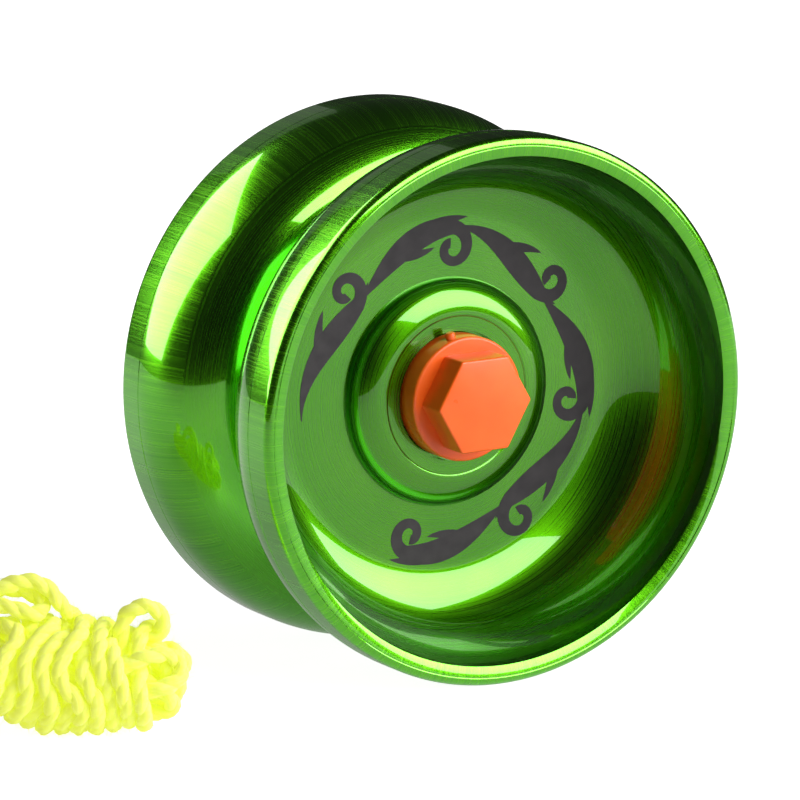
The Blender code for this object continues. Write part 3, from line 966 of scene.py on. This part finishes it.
def string_route():
    """The string's way from its plain end to its knotted end, in mm in the hank's own frame:
    the small loop at the right, the runs to and fro, the turns round them, the left loop."""
    route = [(9.0, 1.5, 0.4), (10.8, 0.6, 2.2), (11.7, -0.4, 4.2), (12.6, -0.8, 5.8), (13.7, -1.0, 7.0)]
    route += [(15.0, -1.0, 7.2), (16.2, -0.8, 6.5), (16.6, -0.4, 5.2), (16.0, 0.3, 4.0), (13.8, 1.2, 2.9)]
    route += [(9.0, 1.6, 2.9), (0.0, 1.0, 2.7)]
    runs = run_places()
    sag = -1.6
    for index, (y, z) in enumerate(runs):
        ends = [(-14.5, y * 1.25, z * 0.8 + sag), (-6.0, y, z + sag / 2), (4.0, y, z), (14.0, y * 1.05, z)]
        next_y, next_z = runs[(index + 1) % len(runs)]
        middle_y, middle_z = (y + next_y) / 2, (z + next_z) / 2
        if index % 2 == 0:
            route += ends
            route += [(16.8, y * 1.3, z - 0.3), (18.3, middle_y, middle_z - 0.2)]
            route += [(16.8, next_y * 1.3, next_z - 0.3)]
        else:
            route += ends[::-1]
            route += [(-16.6, y * 1.4, z + sag), (-17.8, middle_y, middle_z + sag)]
            route += [(-16.6, next_y * 1.4, next_z + sag)]
    route += [(15.4, 3.0, 3.4)]
    for index, (lean, tall) in enumerate(zip(WRAP_LEANS, WRAP_HALF_HEIGHTS)):
        turn = wrap_points(14.2 - 1.8 * index, -1.8, lean, tall * 0.98, tall)
        route += [(x, y, z - (5.1 - tall)) for x, y, z in turn]
    for index in range(3):
        route += wrap_points(1.5 + 2.0 * index, 2.0, -1.9, 5.6, 5.6)
    route += wrap_points(7.4, 0.3, 0.0, 6.0, 5.9)
    route += [(6.9, 0.0, 6.2), (6.0, 0.2, 7.9), (4.7, 0.2, 9.1), (3.0, 0.1, 9.3), (1.2, 0.0, 8.8)]
    route += [(-0.6, 0.2, 7.9), (-2.2, 0.8, 7.0), (-3.0, 1.9, 6.6), (-2.0, 2.4, 7.0), (-0.4, 1.9, 7.8)]
    route += [(1.4, 1.3, 8.3), (3.2, 1.0, 8.1), (4.6, 0.8, 7.3), (5.3, 0.0, 6.3), (4.2, -0.9, 6.1)]
    route += [(2.3, -0.9, 6.8), (0.4, -0.6, 7.2), (-1.8, -0.4, 6.9), (-4.8, 0.2, 4.8), (-8.0, 1.0, 3.4)]
    route += [(-12.0, 1.2, 2.6)]
    route += [(-14.4, 0.4, 2.2), (-15.6, -1.6, 1.6), (-13.4, -3.2, 1.2), (-9.0, -3.4, 1.2)]
    return np.array(route)


def smooth_line(points, step):
    """A Catmull-Rom curve through the points, with its own points step apart."""
    points = np.asarray(points, float)
    padded = np.vstack([2 * points[0] - points[1], points, 2 * points[-1] - points[-2]])
    shares = np.linspace(0, 1, 12, endpoint=False)[:, None]
    pieces = []
    for a, b, c, d in zip(padded, padded[1:], padded[2:], padded[3:]):
        curve = 2 * b + (c - a) * shares + (2 * a - 5 * b + 4 * c - d) * shares**2
        pieces.append((curve + (3 * b - a - 3 * c + d) * shares**3) / 2)
    return even_line(np.vstack([*pieces, points[-1:]]), step)


def even_line(line, step):
    """The same line with its points step apart, as near as its length allows."""
    along = np.concatenate([[0], np.cumsum(np.linalg.norm(np.diff(line, axis=0), axis=1))])
    places = np.linspace(0, along[-1], int(round(along[-1] / step)) + 1)
    return np.stack([np.interp(places, along, line[:, axis]) for axis in range(3)], axis=1)


def settle(line, rounds=150):
    """The string's points after it has been pulled snug: it keeps its length, resists tight bends,
    is pushed apart where it touches itself, and stays on the floor and inside the hank's own space.

    The loops that stand out at its two ends are drawn back to their shape in each round.
    """
    count = len(line)
    spacing = np.linalg.norm(np.diff(line, axis=0), axis=1).mean()
    first, second = np.triu_indices(count, 5)
    places = np.arange(count)
    near_an_end = (places < 34) | (places > count - 112)
    loops = (line[:, 2] > 4.4 * MM) & near_an_end
    shape = line[loops].copy()
    gap = STRING_DIAMETER * 0.97
    for turn in range(rounds):
        if turn % 6 == 0:
            near = ((line[first] - line[second]) ** 2).sum(1) < (gap + 1.2 * MM) ** 2
            pairs = first[near], second[near]
        line = line + pushed_apart(line, pairs, gap)
        unbend(line, 2, 2 * spacing * 0.985)
        unbend(line, 4, 4 * spacing * 0.95)
        for parity in (0, 1, 0, 1):
            keep_spacing(line, parity, spacing)
        line = inside_hank(line, loops)
        line[loops] = lerp(line[loops], shape, 0.3)
    for _ in range(3):
        line[1:-1] = (line[:-2] + 2 * line[1:-1] + line[2:]) / 4
    return line


def pushed_apart(line, pairs, gap):
    """How far each point moves, at most 0.35 mm, so that the pairs come to lie the gap apart."""
    apart = line[pairs[1]] - line[pairs[0]]
    distance = np.linalg.norm(apart, axis=1)
    push = np.maximum(gap - distance, 0) * 0.34 / np.maximum(distance, 1e-6)
    shift = apart * push[:, None]
    moved = np.zeros_like(line)
    np.add.at(moved, pairs[0], -shift)
    np.add.at(moved, pairs[1], shift)
    length = np.linalg.norm(moved, axis=1)
    return moved * np.minimum(1.0, 0.35 * MM / np.maximum(length, 1e-9))[:, None]


def unbend(line, hop, least_chord):
    """Moves points that are hop places from each other apart, towards the least chord, in place."""
    chord = line[hop:] - line[:-hop]
    length = np.linalg.norm(chord, axis=1)
    share = np.maximum(least_chord - length, 0) * 0.22 / np.maximum(length, 1e-6)
    line[hop:] += chord * share[:, None]
    line[:-hop] -= chord * share[:, None]


def keep_spacing(line, parity, spacing):
    """Gives every second step of the line its length back, in place."""
    before, after = line[parity:-1:2], line[parity + 1 :: 2]
    way = after - before
    size = np.linalg.norm(way, axis=1)
    fix = (size - spacing) * 0.5 / np.maximum(size, 1e-9)
    line[parity:-1:2] += way * fix[:, None]
    line[parity + 1 :: 2] -= way * fix[:, None]


def inside_hank(line, loops):
    """The points moved into a long rounded space that lies on the floor, except the end loops.

    Its underside rises on the left, from the shoulder at x 5.5 mm, where the turns end.
    """
    line = line.copy()
    share = np.clip(np.abs(line[:, 0]) / HANK_HALF_LENGTH, 0, 1)
    narrowing = np.sqrt(1 - np.clip((share - 0.66) / 0.36, 0, 1) ** 2)
    half_depth, half_height = HANK_HALF_DEPTH * narrowing, HANK_HALF_HEIGHT * narrowing
    size = np.sqrt((line[:, 1] / half_depth) ** 2 + (line[:, 2] / half_height) ** 2)
    over = np.where(loops, 1.0, np.maximum(size, 1.0))
    line[:, 1] /= over
    lift = SHOULDER_LIFT * np.clip((5.5 * MM - line[:, 0]) / (4.5 * MM), 0, 1) ** 2
    lift *= np.clip((line[:, 0] + 14 * MM) / (9 * MM), 0, 1)
    low = np.maximum(line[:, 2] / over, lift - HANK_HALF_HEIGHT)
    line[:, 2] = np.where(loops, line[:, 2], low)
    line[:, 0] = np.clip(line[:, 0], -HANK_HALF_LENGTH, HANK_HALF_LENGTH)
    return line


def frames_along(line):
    """Two directions across the line at each of its points, carried along without twist."""
    ways = unit(np.gradient(line, axis=0))
    across = np.empty_like(line)
    side = np.cross(ways[0], (0.0, 0.0, 1.0))
    if np.linalg.norm(side) < 0.1:
        side = np.cross(ways[0], (1.0, 0.0, 0.0))
    for index, way in enumerate(ways):
        side = side - way * (side @ way)
        side /= np.linalg.norm(side)
        across[index] = side
    return across, np.cross(ways, across)


def tube(line, radii, sides):
    """Points and faces of a tube with closed ends."""
    across, upward = frames_along(line)
    angles = 2 * math.pi * np.arange(sides) / sides
    rings = (
        line[:, None]
        + radii[:, None, None] * np.cos(angles)[None, :, None] * across[:, None]
        + radii[:, None, None] * np.sin(angles)[None, :, None] * upward[:, None]
    )
    count = len(line)
    starts = np.arange(count - 1)[:, None] * sides
    here = starts + np.arange(sides)[None, :]
    after = starts + (np.arange(sides)[None, :] + 1) % sides
    faces = np.stack([here, after, after + sides, here + sides], axis=2).reshape(-1, 4).tolist()
    faces += [list(range(sides))[::-1], list(range((count - 1) * sides, count * sides))]
    return rings.reshape(-1, 3), faces


PLY_PITCH = 3.7 * MM
PLY_OFFSET = 0.23 * MM
PLY_RADIUS = 0.60 * MM
PLY_SIDES = 9
SWELL_PITCH = 0.9 * MM


def yarn_mesh(name, line, material, seed):
    """A two-ply yarn along a line, with uneven plies, and the ply centres that fuzz grows from."""
    random = np.random.default_rng(seed)
    across, upward = frames_along(line)
    step = np.linalg.norm(np.diff(line, axis=0), axis=1).mean()
    along = np.arange(len(line)) * step
    swells = int(along[-1] / SWELL_PITCH) + 2
    points, faces, plies = [], [], []
    for ply in range(2):
        angle = 2 * math.pi * along / PLY_PITCH + math.pi * ply
        offset = across * np.cos(angle)[:, None] + upward * np.sin(angle)[:, None]
        centres = line + offset * PLY_OFFSET
        swell = np.interp(along, np.arange(swells) * SWELL_PITCH, random.normal(1.0, 0.06, swells))
        radii = PLY_RADIUS * swell
        radii[0] = radii[-1] = PLY_RADIUS * 0.4
        ply_points, ply_faces = tube(centres, radii, PLY_SIDES)
        ply_points = ply_points + random.normal(0, 0.02 * MM, ply_points.shape)
        base = sum(len(p) for p in points)
        points.append(ply_points)
        faces += [[base + i for i in face] for face in ply_faces]
        plies.append(centres)
    piece = new_piece(name, np.vstack(points), faces, material, NO_SHARP_EDGES)
    paint_strand_map(piece.data, len(line), step)
    return piece, plies


def paint_strand_map(mesh, rings, step):
    """Coordinates for the fibres: how far round the ply, in turns, and how far along, in diameters."""
    layer = mesh.uv_layers.new(name="strand")
    corners = np.zeros(len(mesh.loops), np.int64)
    mesh.loops.foreach_get("vertex_index", corners)
    ring, side = np.divmod(corners % (rings * PLY_SIDES), PLY_SIDES)
    coordinates = np.stack([np.abs(side / PLY_SIDES - 0.5) * 2, ring * step / STRING_DIAMETER], axis=1)
    layer.data.foreach_set("uv", coordinates.astype(np.float32).ravel())


FIBRES_PER_METRE = 15000
FIBRE_RADIUS = 0.02 * MM
FIBRE_SEGMENTS = 3
FIBRE_SIDES = 3


def fibre_faces():
    """The side faces of one fibre, its root face and its tip face, as places in its own points."""
    sides = []
    for segment in range(FIBRE_SEGMENTS):
        for corner in range(FIBRE_SIDES):
            a = segment * FIBRE_SIDES + corner
            b = segment * FIBRE_SIDES + (corner + 1) % FIBRE_SIDES
            sides.append((a, b, b + FIBRE_SIDES, a + FIBRE_SIDES))
    last = FIBRE_SEGMENTS * FIBRE_SIDES
    return sides, (0, 2, 1), (last, last + 1, last + 2)


def fuzz_mesh(name, plies, material, seed):
    """Loose fibre ends that stand off the yarn: short, curved and tapering."""
    random = np.random.default_rng(seed)
    centres = np.vstack(plies)
    ply_length = len(plies[0])
    amount = int(FIBRES_PER_METRE * STRING_LENGTH)
    roots = random.integers(2, ply_length - 2, amount) + ply_length * random.integers(0, 2, amount)
    ways = unit(np.gradient(centres, axis=0)[roots])
    out = random.normal(size=(amount, 3))
    out = unit(out - ways * (out * ways).sum(1)[:, None])
    lean = ways * random.uniform(-1.2, 1.2, (amount, 1))
    lengths = random.uniform(0.4, 1.25, amount)[:, None] * MM
    bend = random.normal(size=(amount, 3)) * 0.35
    base = centres[roots] + out * PLY_RADIUS * 0.85
    aside = np.cross(out, ways)
    points = []
    for segment in range(FIBRE_SEGMENTS + 1):
        share = segment / FIBRE_SEGMENTS
        middle = base + (out * 0.7 + lean * 0.8 + bend * share) * lengths * share
        radius = FIBRE_RADIUS * (1 - 0.7 * share)
        for corner in range(FIBRE_SIDES):
            angle = 2 * math.pi * corner / FIBRE_SIDES
            points.append(middle + radius * (math.cos(angle) * aside + math.sin(angle) * ways))
    stacked = np.stack(points, axis=1).reshape(-1, 3)
    stacked[:, 2] = np.maximum(stacked[:, 2], FLOOR_Z + FIBRE_RADIUS)

    starts = np.arange(amount)[:, None] * len(points)
    sides, root, tip = fibre_faces()
    faces = (starts[:, None] + np.array(sides)[None]).reshape(-1, 4).tolist()
    faces += (starts + np.array([root])).tolist()
    faces += (starts + np.array([tip])).tolist()
    piece = new_piece(name, stacked, faces, material, NO_SHARP_EDGES)
    outward(piece.data)
    return piece


def knot_line(centre):
    """A small overhand knot, as a trefoil that is left a little open."""
    opening = 0.12
    turns = np.linspace(opening, 2 * math.pi - opening, 100)
    x = np.sin(turns) + 2 * np.sin(2 * turns)
    y = np.cos(turns) - 2 * np.cos(2 * turns)
    z = -1.1 * np.sin(3 * turns)
    return centre + np.stack([x, y, z], axis=1) * 0.72 * MM


def add_string(material):
    """The whole string: settled in the hank's own frame, cut to its length, and put in its place."""
    line = settle(smooth_line(string_route() * MM, SETTLING_STEP))
    line = smooth_line(line, FINE_STEP)
    line = line[: int(round(STRING_LENGTH / FINE_STEP)) + 1]
    place = np.array(TO_HANK)
    line = line @ place[:3, :3].T + place[:3, 3]
    knot_centre = line[-1] + np.array([0, 0, 1.2 * MM])
    yarn, plies = yarn_mesh("string_yarn", line, material, 5)
    fuzz = fuzz_mesh("string_fuzz", plies, material, 11)
    knot, _ = yarn_mesh("string_knot", knot_line(knot_centre), material, 17)
    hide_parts("string_hank", "string_finger_loop", "string_axle_loop")
    for piece in (yarn, fuzz, knot):
        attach(piece, "back_half")


def main():
    add_camera()
    add_floor()
    add_light()
    lacquer = green_lacquer()
    add_cups(lacquer)
    add_prints(black_ink())
    add_caps(orange_plastic())
    add_core(
        turned_metal("bearing_steel", (0.52, 0.53, 0.55), (0.70, 0.71, 0.73), 0.18),
        turned_metal("brass", (0.55, 0.37, 0.13), (0.76, 0.57, 0.26), 0.3),
        turned_metal("zinc_plate", (0.46, 0.47, 0.48), (0.66, 0.67, 0.68), 0.34),
        white_silicone(),
    )
    add_string(yellow_yarn())


main()
